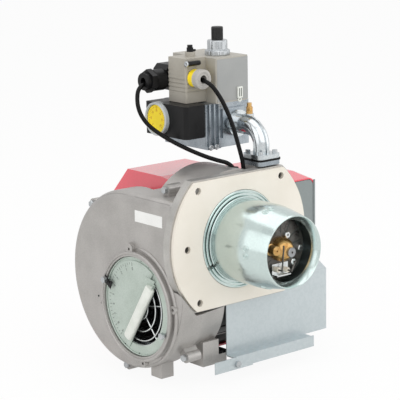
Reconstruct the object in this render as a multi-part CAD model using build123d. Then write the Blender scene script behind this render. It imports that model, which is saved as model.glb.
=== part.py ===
"""Forced-draught gas burner: cast fan housing, flame tube, hood and gas train.

Frame: millimetres, +Z up. The origin is on the flame tube's axis at the front face of
the flange gasket. The flame tube points along -Y, the air inlet faces -X and the motor
stands on the +X side of the fan housing.
"""
from build123d import *
import math
import os

os.makedirs("parts", exist_ok=True)

# ---- driving dimensions -------------------------------------------------------------
GAP = 0.3                      # clearance between pieces of different bodies
FIT = 0.05                     # radial running clearance of a shaft

GASKET_R, GASKET_H, GASKET_T = 126.0, 93.4, 5.0
FLANGE_R, FLANGE_H = 129.0, 96.0
BACK_Y = 19.0                  # back face of the mounting flange
BOLT_X, BOLT_Z = 79.0, 81.5    # half spacings of the four corner holes
BOLT_MID = 100.0               # half spacing of the two middle holes
BOLT_R = 5.25

TUBE_R, MOUTH_R, TUBE_L, TUBE_T = 66.0, 50.0, 112.0, 1.6
RING_R, RING_L = 72.0, 5.0     # clamping ring round the flame tube

FAN_Y, FAN_Z = 96.0, -98.0     # fan and motor axis
SIDE_X, SPLIT_X, MOTOR_X = -116.0, -77.0, -25.0
SCROLL_Y, SCROLL_Z, SCROLL_R = 128.0, -66.0, 133.0
CONE_Y, CONE_Z, CONE_R = 112.0, -85.0, 103.0
OUTLET_Z = 67.0                # top of the outlet duct
WALL = 4.0
NECK_R, NECK_END, LIP = 99.0, 95.0, 6.0
THROAT_R, SEAT_R, RIM_R = 59.0, 74.5, 82.0
RIM_X = -122.0                 # front of the raised inlet rim
DAMPER_R, DAMPER_TILT = 68.0, 33.0
WHEEL_R, WHEEL_X0, WHEEL_X1, BLADES = 70.0, -108.0, -52.0, 32
MOTOR_R, MOTOR_END, SHAFT_R = 70.0, 62.0, 7.0

HOOD_X0, HOOD_X1, HOOD_STEP = -21.0, 258.0, 93.0
HOOD_Y0, HOOD_TOP, HOOD_LOW, HOOD_BOTTOM = 116.0, 72.0, 43.0, -200.0
HOOD_BACK, SLANT_Z, HOOD_FALL, HOOD_T = 342.0, -40.0, 6.0, 2.5

PIPE_X, PIPE_Y, ELBOW_Z = 65.0, 27.0, 152.0
ELBOW_R, ELBOW_BORE = 12.0, 9.0
LANCE_R, LANCE_BORE = 14.0, 10.0
BAFFLE_Y, BAFFLE_R = -66.0, 44.0
KNOB_X, KNOB_Y = 63.5, 121.0
DIAL_Y, DIAL_Z, DIAL_R = 151.0, 161.0, 24.0
PLUG_Y, PLUG_Z = 166.0, 216.0
GLAND_X, GLAND_Z = 8.0, 222.0
CABLE_R, GROMMET_R = 3.2, 5.4
INLET_R = 12.1                 # gas inlet, 3/4 inch


# ---- helpers ------------------------------------------------------------------------
def box(x0, x1, y0, y1, z0, z1):
    return Pos((x0 + x1) / 2, (y0 + y1) / 2, (z0 + z1) / 2) * Box(x1 - x0, y1 - y0, z1 - z0)


def rod_x(r, x0, x1, y=FAN_Y, z=FAN_Z):
    return Pos((x0 + x1) / 2, y, z) * Rot(0, 90, 0) * Cylinder(r, abs(x1 - x0))


def rod_y(r, y0, y1, x=0.0, z=0.0):
    return Pos(x, (y0 + y1) / 2, z) * Rot(90, 0, 0) * Cylinder(r, abs(y1 - y0))


def rod_z(r, z0, z1, x, y):
    return Pos(x, y, (z0 + z1) / 2) * Cylinder(r, abs(z1 - z0))


def hex_prism(across, length, centre, axis="z"):
    turn = {"x": Rot(0, 90, 0), "y": Rot(90, 0, 0), "z": Rot(0, 0, 0)}[axis]
    prism = extrude(RegularPolygon(across / math.sqrt(3), 6), length / 2, both=True)
    return Pos(*centre) * turn * prism


def turned_y(points):
    """A solid turned about the flame axis; points are (radius, y)."""
    outline = Polyline(*[(r, y, 0) for r, y in points], close=True)
    return revolve(make_face(outline), Axis.Y, 360)


def upright(sketch, y0, y1):
    """A sketch drawn in (x, z), extruded from y0 to y1."""
    plane = Plane(origin=(0, y0, 0), x_dir=(1, 0, 0), z_dir=(0, -1, 0))
    return extrude(plane * sketch, -(y1 - y0))


def side_plate(sketch, x0, x1):
    """A sketch drawn in (y, z), extruded from x0 to x1."""
    plane = Plane(origin=(x0, 0, 0), x_dir=(0, 1, 0), z_dir=(1, 0, 0))
    return extrude(plane * sketch, x1 - x0)


def fused(shapes):
    shapes = list(shapes)
    return shapes[0].fuse(*shapes[1:]) if len(shapes) > 1 else shapes[0]


def biggest(shape):
    return max(shape.solids(), key=lambda solid: solid.volume)


def save(shape, name):
    export_step(Compound(list(shape.solids())), f"parts/{name}.step")


# ---- flange -------------------------------------------------------------------------
def rounded_plate(radius, half_height):
    return Circle(radius) & Rectangle(4 * radius, 2 * half_height)


def bolt_holes():
    corners = [(sx * BOLT_X, sz * BOLT_Z) for sx in (-1, 1) for sz in (-1, 1)]
    spots = corners + [(-BOLT_MID, 0), (BOLT_MID, 0)]
    return Sketch() + [Pos(x, z) * Circle(BOLT_R) for x, z in spots]


def flange_parts():
    gasket = rounded_plate(GASKET_R, GASKET_H) - Circle(RING_R + 0.5) - bolt_holes()
    plate = rounded_plate(FLANGE_R, FLANGE_H) - Circle(TUBE_R - TUBE_T - 1) - bolt_holes()
    save(upright(gasket, 0, GASKET_T), "flange_gasket")
    save(upright(plate, GASKET_T, BACK_Y), "mounting_flange")


# ---- fan housing --------------------------------------------------------------------
LUGS = [(237, 28), (60, 76), (271, -95), (160, -208), (24, -166)]
RIM_HOLES = [8, 98, 188, 278]  # screw holes round the inlet rim, degrees from up
CLAMP_SPOTS = [67, 247]        # screws that clamp the air damper


def skew_cone(inset):
    wide = Plane(origin=(SPLIT_X + LIP - 1, SCROLL_Y, SCROLL_Z), z_dir=(1, 0, 0))
    small = Plane(origin=(MOTOR_X - inset, CONE_Y, CONE_Z), z_dir=(1, 0, 0))
    return loft([wide * Circle(SCROLL_R - 1.5 - inset), small * Circle(CONE_R - inset)])


def motor_room(grow):
    """Space kept clear round the motor, where the neck is scooped out for it."""
    return rod_x(MOTOR_R + 5 + grow, MOTOR_X - grow, MOTOR_END + 60)


def housing_blank():
    rim = 14
    scroll = rod_x(SCROLL_R, SIDE_X, SPLIT_X + LIP, SCROLL_Y, SCROLL_Z)
    scroll = fillet(scroll.edges().sort_by(Axis.X)[0], rim)
    duct = box(SIDE_X, SPLIT_X, BACK_Y + 0.5, SCROLL_Y, SCROLL_Z, OUTLET_Z)
    duct = fillet(duct.faces().sort_by(Axis.X)[0].edges().sort_by(Axis.Z)[-1], rim)
    right = box(SPLIT_X, MOTOR_X, BACK_Y + 0.5, 108, SCROLL_Z, OUTLET_Z)
    neck = rod_y(NECK_R, BACK_Y + 0.5, NECK_END) - motor_room(0)
    blank = fused([scroll, duct, right, skew_cone(0), neck])
    return blank - upright(rounded_plate(FLANGE_R + 2, FLANGE_H + 2), -40, BACK_Y + 0.5)


def housing_cavity():
    scroll = rod_x(SCROLL_R - WALL, SIDE_X + WALL, SPLIT_X + LIP, SCROLL_Y, SCROLL_Z)
    front = BACK_Y + 0.5 + WALL
    duct = box(SIDE_X + WALL, MOTOR_X - WALL, front, 104, SCROLL_Z, OUTLET_Z - WALL)
    room = fused([scroll, duct, skew_cone(WALL)])
    room -= upright(rounded_plate(FLANGE_R + 6, FLANGE_H + 6), -40, front)
    return room + (rod_y(NECK_R - 5, BACK_Y, NECK_END - 5) - motor_room(WALL))


def rim_point(degrees, radius):
    angle = math.radians(degrees)
    return FAN_Y + radius * math.sin(angle), FAN_Z + radius * math.cos(angle)


def lug_web(y, z):
    """Cast web from a screw lug down to the housing wall."""
    dy, dz = (0, -1) if z > OUTLET_Z else (SCROLL_Y - y, SCROLL_Z - z)
    turn = math.degrees(math.atan2(-dy, dz))
    place = Pos(SPLIT_X, y, z) * Rot(turn, 0, 0) * Pos(0, 0, 6.5)
    return place * Box(24, 12, 13)


def housing():
    body = housing_blank()
    body += rod_x(RIM_R, RIM_X, SIDE_X + 10) - rod_x(SEAT_R, RIM_X - 1, SIDE_X)
    lug_y, lug_z = rim_point(8, RIM_R + 4)
    body += rod_x(8, RIM_X, SIDE_X + 1, lug_y, lug_z)
    for degrees in RIM_HOLES[1:]:
        body += rod_x(6, RIM_X + 2, SIDE_X + 4, *rim_point(degrees, RIM_R + 3))
    body += box(-57, -12, 22, 57, -187, -174) + box(-57, MOTOR_X - 2, 22, 57, -180, -150)
    body += box(-100, SPLIT_X, 66, 90, -206, -180)
    for y, z in LUGS:
        body += rod_x(8, SPLIT_X - 12, SPLIT_X + 12, y, z) + lug_web(y, z)
    pad = box(PIPE_X - 21, PIPE_X + 21, BACK_Y + 0.5, PIPE_Y + 20, 60, 98)
    body += pad
    body -= housing_cavity()
    body -= rod_x(THROAT_R + 3, RIM_X - 1, SIDE_X + WALL + 1)
    body -= rod_x(22, MOTOR_X - WALL - 1, MOTOR_X + 1)
    body -= rod_z(7.6, 50, 99, PIPE_X, PIPE_Y)
    body -= upright(rounded_plate(FLANGE_R + 2, FLANGE_H + 1), -40, BACK_Y + 0.5)
    for degrees in RIM_HOLES:
        body -= rod_x(2.2, RIM_X - 1, SIDE_X + 2, *rim_point(degrees, RIM_R + 3))
    for y, z in LUGS:
        body -= rod_x(3.0, SPLIT_X - 14, SPLIT_X + 14, y, z)
    for degrees in CLAMP_SPOTS:
        body -= rod_x(3.0, RIM_X - 1, SIDE_X - 2, *rim_point(degrees, SEAT_R - 1.5))
    for x, y, _ in (GLAND_CABLE[-1], PLUG_CABLE[-1]):
        body -= rod_z(GROMMET_R, 50, 110, x, y)
    return body


def housing_parts():
    whole = housing()
    left = whole & box(-300, SPLIT_X - 0.1, -100, 400, -300, 300)
    right = whole & box(SPLIT_X + 0.1, 300, -100, 400, -300, 300)
    save(biggest(left), "housing_inlet_half")
    save(biggest(right), "housing_motor_half")
    screws = []
    for y, z in LUGS:
        head = hex_prism(9, 5, (SPLIT_X - 14.5, y, z), "x")
        screws.append(head + rod_x(2.95, SPLIT_X - 12, SPLIT_X + 12, y, z))
    save(Compound([solid for s in screws for solid in s.solids()]), "housing_screws")
    save(box(-24, -9, 24, 61, -174, -170) & box(-30, 0, 0, 60, -200, -100), "foot_pad")


# ---- flame tube ---------------------------------------------------------------------
def tube_parts():
    ring = turned_y([(TUBE_R + 0.2, GASKET_T), (RING_R, GASKET_T), (RING_R, 1),
                     (RING_R - 0.8, 0), (RING_R - 0.8, -1.4), (RING_R, -2.2),
                     (RING_R, -RING_L + 1), (RING_R - 1.2, -RING_L), (TUBE_R + 0.2, -RING_L)])
    notch = Rot(0, 28, 0) * box(-RING_R - 2, -TUBE_R - 1, -RING_L - 1, GASKET_T + 1, -3, 3)
    save(ring - notch, "tube_clamp_ring")
    t = TUBE_T
    tube = turned_y([(TUBE_R, GASKET_T), (TUBE_R, -38), (TUBE_R - 4, -58), (MOUTH_R + 1.5, -102),
                     (MOUTH_R, -107), (MOUTH_R - 0.4, -TUBE_L + 0.8), (MOUTH_R - 1.4, -TUBE_L),
                     (MOUTH_R - 2.6, -TUBE_L + 0.8), (MOUTH_R - 2.6, -106),
                     (MOUTH_R + 1.5 - t, -101), (TUBE_R - 4 - t, -57), (TUBE_R - t, -37),
                     (TUBE_R - t, GASKET_T)])
    save(tube, "flame_tube")


# ---- mixing head (slides along the flame axis) --------------------------------------
ROD_SPOTS = {"ignition": (-17.0, -25.0), "probe": (3.0, -31.0)}


def baffle():
    plate = rod_y(BAFFLE_R, BAFFLE_Y, BAFFLE_Y + 1.5) - rod_y(LANCE_R - 3, -80, -50)
    slots = []
    for i in range(12):
        turn = Rot(0, 30 * i + 10, 0)
        slots.append(turn * Pos(30, BAFFLE_Y, 0) * Rot(0, 30, 0) * Box(17, 8, 2.2))
    plate -= fused(slots)
    for x, z in ROD_SPOTS.values():
        plate -= rod_y(4.0, BAFFLE_Y - 4, BAFFLE_Y + 4, x, z)
    lip = rod_y(BAFFLE_R, BAFFLE_Y, BAFFLE_Y + 8) - rod_y(BAFFLE_R - 1.4, BAFFLE_Y - 1, BAFFLE_Y + 9)
    return plate + lip


def mixing_head():
    save(baffle(), "baffle_plate")
    nozzle = turned_y([(0, -84), (6, -84), (9, -82), (15, -75), (16, -72), (16, BAFFLE_Y - 0.2),
                       (LANCE_R - 3, BAFFLE_Y - 0.2), (LANCE_R - 3, BAFFLE_Y + 8), (0, BAFFLE_Y + 8)])
    ports = []
    for i in range(8):
        ports.append(Rot(0, 45 * i, 0) * Pos(11, -78, 0) * Rot(90, 0, 0) * Cylinder(1.6, 16))
    save(nozzle - fused(ports), "gas_nozzle")
    lance = rod_y(LANCE_R, BAFFLE_Y + 8, 70) - rod_y(LANCE_BORE, BAFFLE_Y + 12, 66)
    lance -= box(0, 30, 22, 34, -7, 7)
    save(lance, "gas_lance")
    tips = {"ignition": (-6, -12), "probe": (12, -20)}
    sleeves, rods = [], []
    for name, (x, z) in ROD_SPOTS.items():
        sleeve = rod_y(3.8, BAFFLE_Y - 10, BAFFLE_Y + 46, x, z)
        sleeves.append(sleeve - rod_y(1.3, BAFFLE_Y - 11, BAFFLE_Y + 1, x, z))
        tip_x, tip_z = tips[name]
        route = FilletPolyline((x, BAFFLE_Y, z), (x, BAFFLE_Y - 19, z),
                               (tip_x, BAFFLE_Y - 27, tip_z), radius=3)
        start = Plane(origin=(x, BAFFLE_Y, z), z_dir=(0, -1, 0))
        rods.append(sweep(start * Circle(1.25), path=route))
    save(Compound([s for c in sleeves for s in c.solids()]), "electrode_insulators")
    save(Compound([s for r in rods for s in r.solids()]), "electrode_rods")
    clamp = box(-25, 11, BAFFLE_Y - 5, BAFFLE_Y - 0.2, -37, -18)
    clamp = fillet(clamp.edges().filter_by(Axis.Y), 4)
    for x, z in ROD_SPOTS.values():
        clamp -= rod_y(3.8, BAFFLE_Y - 8, BAFFLE_Y, x, z)
    save(clamp - rod_y(16.2, -90, -50), "electrode_clamp")
    nuts = []
    for x, z in ((-8, -21), (2, 33), (33, 8), (24, -17)):
        y = BAFFLE_Y - 7.5 if z == -21 else BAFFLE_Y - 2.5
        nuts.append(hex_prism(6.5, 5, (x, y, z), "y"))
    save(Compound([s for n in nuts for s in n.solids()]), "head_nuts")


def gas_feed():
    hub = rod_y(20, 20, 60) - rod_y(LANCE_R + FIT, 19, 61)
    route = FilletPolyline((PIPE_X, PIPE_Y, 97), (PIPE_X, PIPE_Y, 0), (17, PIPE_Y, 0), radius=18)
    start = Plane(origin=(PIPE_X, PIPE_Y, 97), z_dir=(0, 0, -1))
    pipe = sweep(start * Circle(7.4), path=route)
    bore = sweep(start * Circle(5.6), path=route)
    save(hub + (pipe - rod_y(LANCE_R + FIT, 0, 70)) - bore, "gas_feed_elbow")


# ---- air inlet ----------------------------------------------------------------------
def wire_ring(radius, x):
    return Pos(x, FAN_Y, FAN_Z) * Rot(0, 90, 0) * Torus(radius, 1.2)


def air_inlet():
    seat = rod_x(SEAT_R - 0.3, SIDE_X - 2, SIDE_X) - rod_x(THROAT_R, SIDE_X - 3, SIDE_X + 1)
    save(seat, "inlet_plate")
    x = SIDE_X + 1.6
    spokes = []
    for turn in (20, 80, 140):
        spokes.append(Pos(x + 2.2, FAN_Y, FAN_Z) * Rot(turn, 0, 0) * Cylinder(1.2, 2 * THROAT_R))
    hub = rod_x(4, x - 0.5, x + 3.4)
    rim = rod_x(THROAT_R + 2.9, SIDE_X, SIDE_X + 4) - rod_x(THROAT_R - 1, SIDE_X - 1, SIDE_X + 5)
    save(fused([hub, rim, wire_ring(20, x), wire_ring(38, x), wire_ring(52, x)] + spokes), "inlet_guard")
    clamps = []
    for degrees in CLAMP_SPOTS:
        y, z = rim_point(degrees, SEAT_R - 1.5)
        head = hex_prism(9, 5, (RIM_X - 5.5, y, z), "x")
        clamps.append(head + rod_x(2.95, RIM_X - 4, SIDE_X - 2, y, z))
    save(Compound([s for c in clamps for s in c.solids()]), "inlet_clamp_screws")
    tip, root = DAMPER_R - 6, SEAT_R + 2
    wedge = make_face(Polyline((0, tip), (5, tip + 8), (6, root), (-6, root), (-5, tip + 8), close=True))
    pointer = side_plate(wedge, RIM_X - 3, RIM_X - 1.4)
    place = Pos(0, FAN_Y, FAN_Z) * Rot(-67, 0, 0)
    y, z = rim_point(67, SEAT_R - 1.5)
    save(place * pointer - rod_x(3.05, RIM_X - 9, RIM_X + 2, y, z), "damper_pointer")


def damper_parts():
    x1 = SIDE_X - 2 - GAP
    place = Pos(0, FAN_Y, FAN_Z) * Rot(DAMPER_TILT, 0, 0)
    blade = rod_x(DAMPER_R, x1 - 1.2, x1, 0, 0) - box(x1 - 5, x1 + 5, -80, -19, -80, 80)
    blade -= box(x1 - 5, x1 + 5, -20, -3, 44, 80)
    save(place * blade, "damper_blade")
    bar = box(x1 - 9, x1 - 1.2, -21, -6, -50, 40)
    bar = fillet(bar.edges().filter_by(Axis.X), 3)
    save(place * bar, "damper_handle")
    tab = box(x1 - 7, x1 - 1.2, -17, -16, 44, 58) + box(x1 - 2.4, x1 - 1.2, -17, -1, 44, 58)
    save(place * tab, "damper_tab")


# ---- fan and motor ------------------------------------------------------------------
def blade_ring(x0, x1):
    outer, inner = WHEEL_R - 0.6, WHEEL_R - 14
    blade = make_face(Polyline((inner, 0), (inner + 7, 2.0), (outer, 8.5), (outer - 0.6, 9.6),
                               (inner + 6.4, 3.3), (inner, 1.3), close=True))
    blades = Sketch() + [Rot(0, 0, 360 / BLADES * i) * blade for i in range(BLADES)]
    return Pos(0, FAN_Y, FAN_Z) * side_plate(blades, x0, x1)


def fan():
    x0, x1 = WHEEL_X0, WHEEL_X1
    back = rod_x(WHEEL_R, x1 - 1.5, x1) - rod_x(SHAFT_R, x0, x1 + 1)
    hoop = rod_x(WHEEL_R, x0, x0 + 1.5) - rod_x(WHEEL_R - 14, x0 - 1, x0 + 3)
    hub = rod_x(15, x1 - 20, x1 + 6) - rod_x(SHAFT_R, x0, x1 + 10)
    save(fused([back, hoop, hub, blade_ring(x0 + 1, x1 - 1)]), "fan_wheel")
    save(rod_x(SHAFT_R, x1 - 22, MOTOR_END - 6), "motor_shaft")
    save(rod_x(40, MOTOR_X + 22, MOTOR_END - 26) - rod_x(SHAFT_R, MOTOR_X, MOTOR_END), "motor_rotor")


def motor():
    x0, x1 = MOTOR_X, MOTOR_END
    bore = rod_x(SHAFT_R + FIT, x0 - 1, x1 - 5)
    case = rod_x(MOTOR_R, x0 + 7, x1 - 12) - rod_x(44, x0 + 14, x1 - 18)
    ribs = []
    for i in range(20):
        ribs.append(Pos(x0 + 43, FAN_Y, FAN_Z) * Rot(18 * i, 0, 0) * Pos(0, 0, MOTOR_R) * Box(50, 4, 5))
    save(case - fused(ribs) - bore, "motor_case")
    face = rod_x(MOTOR_R + 4, x0, x0 + 7) - rod_x(SHAFT_R + FIT, x0 - 1, x0 + 8)
    save(face, "motor_flange")
    cap = rod_x(MOTOR_R - 2, x1 - 12, x1)
    cap = fillet(cap.edges().sort_by(Axis.X)[-1], 7)
    save(cap - bore, "motor_end_cap")


# ---- hood ---------------------------------------------------------------------------
def hood_block(x0, x1, top, inset):
    """Side profile: a top that falls a little to the front and a slanted back."""
    front = HOOD_Y0 - (1 if inset else 0)
    low, roof, back = HOOD_BOTTOM + inset, top - inset, HOOD_BACK - inset
    knee = back - (roof - SLANT_Z) * 0.93
    outline = Polyline((front, low), (front, roof - HOOD_FALL), (front + 40, roof), (knee, roof),
                       (back, SLANT_Z), (back, low), close=True)
    return side_plate(make_face(outline), x0, x1)


def hood():
    t = HOOD_T
    high = hood_block(HOOD_X0, HOOD_STEP, HOOD_TOP, 0)
    low = hood_block(HOOD_STEP, HOOD_X1, HOOD_LOW, 0)
    outer = high + low
    corner = [e for e in outer.edges() if e.center().X > HOOD_X1 - 0.1 and e.center().Z > SLANT_Z]
    outer = fillet([e for e in corner if e.center().Y > HOOD_Y0 + 1], 14)
    core = hood_block(HOOD_X0 + t, HOOD_STEP - t, HOOD_TOP, t)
    core += hood_block(HOOD_STEP - t - 1, HOOD_X1 - t, HOOD_LOW, t)
    inner = [e for e in core.edges() if e.center().X > HOOD_X1 - t - 0.1 and e.center().Z > SLANT_Z]
    core = fillet([e for e in inner if e.center().Y > HOOD_Y0 + 1], 12)
    shell = outer - core - motor_room(2)
    save(biggest(shell), "hood")
    roof = HOOD_LOW - HOOD_FALL - t - 0.5
    plate = box(MOTOR_X + 8, HOOD_X1 - t - 0.5, HOOD_Y0, HOOD_Y0 + 1.5, -150, roof)
    plate = fillet(plate.edges().filter_by(Axis.Y).sort_by(Axis.X)[-2:], 12)
    save(plate - motor_room(2), "hood_front_plate")
    save(box(120, 215, HOOD_Y0 + 1.5, 205, -120, -10), "control_box")
    save(box(130, 205, HOOD_Y0 + 1.5, 190, -145, -125), "ignition_transformer")


# ---- connector cover ----------------------------------------------------------------
def cover():
    t = 1.5
    face = box(-13, 190, 20, 20 + t, -178, -100) + box(75, 190, 20, 20 + t, -101, -82)
    side = side_plate(make_face(Polyline((20, -178), (20, -82), (40, -70), (HOOD_Y0, -70),
                                         (HOOD_Y0, -178), close=True)), 190 - t, 190)
    slope = side_plate(make_face(Polyline((20, -82), (40, -70), (HOOD_Y0, -70), (HOOD_Y0, -70 - t),
                                          (40.5, -70 - t), (20, -82 - t), close=True)), 66, 190)
    save(face + side + slope, "connector_cover")
    rail = box(-12, 145, 0.5, 2, -193, -176) + box(-52, 21, 0.5, 2, -195, -177)
    shelf = box(-12, 145, 0.5, 21, -180, -178)
    save(rail + shelf, "terminal_rail")
    save(hex_prism(9, 4, (-10, -1.5, -187), "y"), "terminal_rail_screw")


# ---- gas train ----------------------------------------------------------------------
def square_flange(z0, z1, half=20.5):
    plate = box(PIPE_X - half, PIPE_X + half, PIPE_Y - half, PIPE_Y + half, z0, z1)
    return fillet(plate.edges().filter_by(Axis.Z), 6)


def flange_screws():
    for sx in (-1, 1):
        for sy in (-1, 1):
            yield PIPE_X + 14 * sx, PIPE_Y + 14 * sy


def elbow():
    bore = rod_z(ELBOW_BORE, 90, 118, PIPE_X, PIPE_Y)
    lower, gasket = square_flange(98, 104.5) - bore, square_flange(104.5, 107.5, 21.5) - bore
    route = FilletPolyline((PIPE_X, PIPE_Y, 107.5), (PIPE_X, PIPE_Y, ELBOW_Z), (PIPE_X, 88, ELBOW_Z),
                           radius=28)
    start = Plane(origin=(PIPE_X, PIPE_Y, 107.5), z_dir=(0, 0, 1))
    bend = sweep(start * Circle(ELBOW_R), path=route) + square_flange(107.5, 114)
    rib = sweep(start * Pos(0, 0) * Rectangle(3.5, 2 * ELBOW_R + 5), path=route)
    bend += rib
    bend += rod_y(20, 76, 88, PIPE_X, ELBOW_Z) + rod_z(6.5, ELBOW_Z, 168, 70, 58)
    bend -= sweep(start * Circle(ELBOW_BORE), path=route)
    for x, y in flange_screws():
        hole = rod_z(2.1, 90, 118, x, y)
        lower, gasket, bend = lower - hole, gasket - hole, bend - hole
    save(lower, "gas_flange_lower")
    save(gasket, "gas_flange_gasket")
    save(biggest(bend), "gas_elbow")
    screws = []
    for x, y in flange_screws():
        screws.append(hex_prism(7, 4.5, (x, y, 116.25)) + rod_z(2.05, 99, 115, x, y))
    save(Compound([s for c in screws for s in c.solids()]), "gas_flange_screws")
    nipple = rod_z(5, 168, 172, 70, 58) + hex_prism(9, 6, (70, 58, 175)) + rod_z(3.6, 178, 184, 70, 58)
    save(nipple, "test_nipple")


def valve_body():
    body = box(14, 100, 92, 190, 116, 183)
    body = fillet(body.edges().filter_by(Axis.Z), 3)
    ribs = [box(18 + 9 * i, 20.5 + 9 * i, 88, 93, 116, 183) for i in range(3)]
    body += fused(ribs) + box(44, 86, 88, 93, 130, 174) + box(14, 40, 88, 93, 116, 121)
    body -= rod_y(ELBOW_BORE, 87, 150, PIPE_X, ELBOW_Z)
    body -= rod_y(INLET_R, 172, 191, PIPE_X, ELBOW_Z)
    body -= rod_y(ELBOW_BORE + 1, 140, 173, PIPE_X, ELBOW_Z)
    return body


def valve():
    save(valve_body(), "valve_body")
    coil = box(32, 95, 88, 189, 183, 250)
    save(fillet(coil.edges().filter_by(Axis.Z), 2.5), "valve_coil")
    ring = rod_z(19.5, 250, 259, KNOB_X, KNOB_Y) + rod_z(17, 259, 261, KNOB_X, KNOB_Y)
    nut = hex_prism(29, 12, (KNOB_X, KNOB_Y, 267))
    save(ring + nut - rod_z(4 + FIT, 254, 280, KNOB_X, KNOB_Y), "coil_nut")
    knob = rod_z(8.8, 273 + GAP, 292, KNOB_X, KNOB_Y)
    knob = fillet(knob.edges().sort_by(Axis.Z)[-1], 1.4)
    grooves = []
    for i in range(24):
        turn = Pos(KNOB_X, KNOB_Y, 283) * Rot(0, 0, 15 * i)
        grooves.append(turn * Pos(8.8, 0, -1) * Box(0.9, 1.0, 15))
    save(knob - fused(grooves) + rod_z(4, 256, 274, KNOB_X, KNOB_Y), "flow_knob")
    case = box(-6, 32, 111, 154, 185, 251)
    case = fillet(case.edges().filter_by(Axis.Z).sort_by(Axis.X)[:2], 4)
    grooves = [box(-7, 32.5, 110, 155, 201 + 6 * i, 202.2 + 6 * i) for i in range(4)]
    grooves = [g - box(-5.2, 33, 111.8, 156, 190, 240) for g in grooves]
    save(case - fused(grooves), "terminal_case")
    gland = rod_y(10, 98, 111, GLAND_X, GLAND_Z)
    gland += rod_y(14.5, 88, 98, GLAND_X, GLAND_Z) - rod_y(6, 86, 98, GLAND_X, GLAND_Z)
    save(gland - rod_y(CABLE_R, 86, 106, GLAND_X, GLAND_Z), "cable_gland")
    save(rod_y(13.2, 98, 109, GLAND_X, GLAND_Z) - rod_y(10, 97, 112, GLAND_X, GLAND_Z), "gland_collar")
    save(rod_x(3.6, -21, 14, 107.4, 243), "cover_screw")
    save(rod_z(7.5, 251, 258, 18, 130), "top_boss")
    cap = rod_z(5, 258, 264, 18, 130) + (rod_z(4, 264, 268, 18, 130)) + box(18, 28, 128.5, 131.5, 258, 261)
    save(cap, "top_eyelet")


def switch():
    block = box(-27, 13.8, 88, 180, 136, 184.5)
    block = chamfer(block.edges().filter_by(Axis.Z).sort_by(Axis.Y)[:2], 5)
    well = rod_x(DIAL_R + 1, -28, -24, DIAL_Y, DIAL_Z)
    pin = rod_x(2 + FIT, -26, -12, DIAL_Y, DIAL_Z)
    save(block - well - pin, "pressure_switch")
    bezel = rod_x(DIAL_R + 1, -34, -24, DIAL_Y, DIAL_Z) - rod_x(DIAL_R - 2.6, -35, -23, DIAL_Y, DIAL_Z)
    bezel = chamfer(bezel.edges().sort_by(Axis.X)[:2], 1)
    save(bezel, "dial_bezel")
    dial = rod_x(DIAL_R - 3.2, -31, -28.5, DIAL_Y, DIAL_Z) - box(-32, -30, DIAL_Y - 1, DIAL_Y + 1, 174, 181)
    save(dial + rod_x(2, -29, -14, DIAL_Y, DIAL_Z), "pressure_dial")
    plug = box(-8, 32, PLUG_Y - 11.5, PLUG_Y + 19, PLUG_Z - 16, PLUG_Z + 22)
    plug = chamfer(plug.edges().filter_by(Axis.Y).sort_by(Axis.X)[:2], 7)
    save(plug + rod_x(16, -26, -7, PLUG_Y + 1, PLUG_Z) - rod_x(CABLE_R, -27, -14, PLUG_Y + 1, PLUG_Z), "plug_body")
    nut = hex_prism(31, 9, (-31, PLUG_Y + 1, PLUG_Z), "x") + rod_x(13, -42, -35, PLUG_Y + 1, PLUG_Z)
    save(nut - rod_x(6, -43, -25, PLUG_Y + 1, PLUG_Z), "plug_nut")


# ---- cables -------------------------------------------------------------------------
GLAND_CABLE = [(8, 106, 222), (8, 80, 222), (17.5, 62, 199), (26, 48, 164), (31, 38, 126),
               (34.5, 32, 100), (34.5, 32, 84)]
PLUG_CABLE = [(-14, 167, 216), (-50, 167, 216), (-62, 159, 184), (-53, 150, 157), (-40, 125, 139),
              (-24, 95, 123.5), (-2, 62, 109), (22, 37, 101), (22, 37, 84)]


def unit(a, b):
    v = [q - p for p, q in zip(a, b)]
    size = math.sqrt(sum(c * c for c in v))
    return [c / size for c in v], size


def cable(points, name):
    radii = []
    for a, b, c in zip(points, points[1:], points[2:]):
        (d1, l1), (d2, l2) = unit(a, b), unit(b, c)
        turn = math.acos(max(-1, min(1, sum(p * q for p, q in zip(d1, d2)))))
        radii.append(0.45 * min(l1, l2) / math.tan(turn / 2))
    pieces = []
    at = Vector(*points[0])
    for (a, b, c), r in zip(zip(points, points[1:], points[2:]), radii):
        (d1, _), (d2, _) = unit(a, b), unit(b, c)
        turn = math.acos(sum(p * q for p, q in zip(d1, d2)))
        cut = r * math.tan(turn / 2)
        p, q = Vector(*b) - Vector(*d1) * cut, Vector(*b) + Vector(*d2) * cut
        middle = Vector(*d2) - Vector(*d1)
        centre = p + (middle - Vector(*d1) * middle.dot(Vector(*d1))).normalized() * r
        mid = centre + (Vector(*b) - centre).normalized() * r
        pieces += [Line(at, p), ThreePointArc(p, mid, q)]
        at = q
    pieces.append(Line(at, Vector(*points[-1])))
    start = Plane(origin=points[0], z_dir=tuple(unit(points[0], points[1])[0]))
    path = Wire(pieces)
    save(sweep(start * Circle(CABLE_R), path=path), name)
    print(name, "length", round(path.length, 1), "radii", [round(r, 1) for r in radii])


def cables():
    cable(GLAND_CABLE, "gland_cable")
    cable(PLUG_CABLE, "plug_cable")
    grommets = []
    for x, y, _ in (GLAND_CABLE[-1], PLUG_CABLE[-1]):
        top = math.sqrt(NECK_R ** 2 - x ** 2)
        grommets.append(rod_z(GROMMET_R, top - 11, top + 0.6, x, y))
    for x, y, _ in (GLAND_CABLE[-1], PLUG_CABLE[-1]):
        bore = rod_z(CABLE_R, 60, 92, x, y) + rod_z(CABLE_R + 1.4, 92, 120, x, y)
        grommets = [g - bore for g in grommets]
    save(Compound([s for g in grommets for s in g.solids()]), "cable_grommets")


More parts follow.
